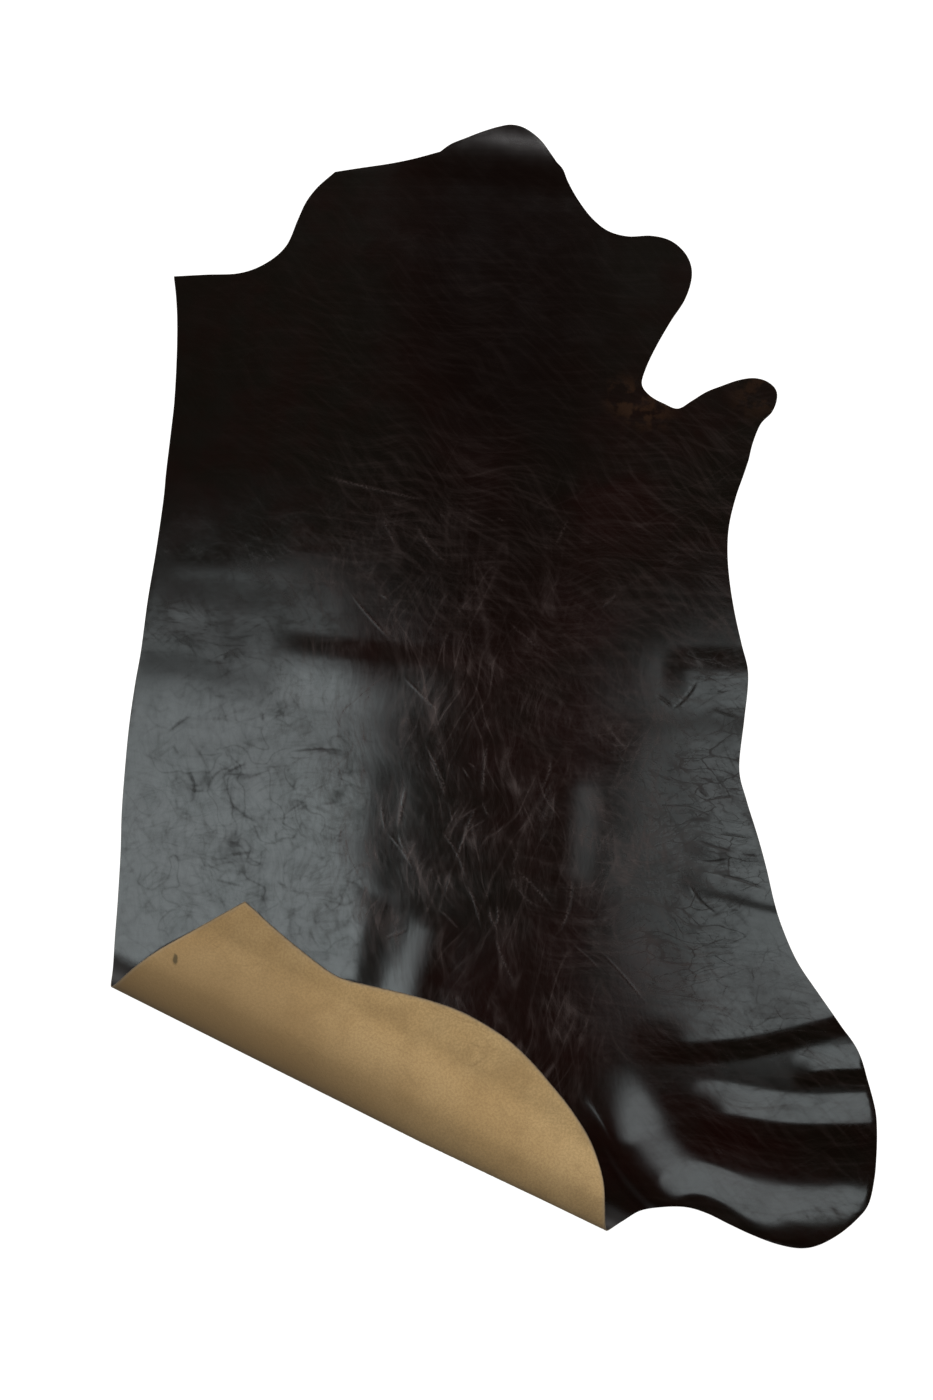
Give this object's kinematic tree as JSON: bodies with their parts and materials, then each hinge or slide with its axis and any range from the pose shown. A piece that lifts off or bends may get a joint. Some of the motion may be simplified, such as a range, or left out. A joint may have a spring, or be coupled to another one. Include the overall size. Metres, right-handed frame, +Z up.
{
  "type": "leather hide",
  "caption": "Side of dark glossy cattle leather lying grain side up, its butt corner folded over to show the tan flesh side.",
  "frame": {"origin": "on the surface the hide lies on, under the middle of its bounding box", "axes": "+X from the backbone edge to the belly, +Y from the butt to the neck, +Z up, grain side up"},
  "size_m": [1.3763, 2.0202, 0.0526],
  "materials": {
    "leather": "satin"
  },
  "bodies": {
    "root": {"hide": "leather"}
  },
  "joints": []
}
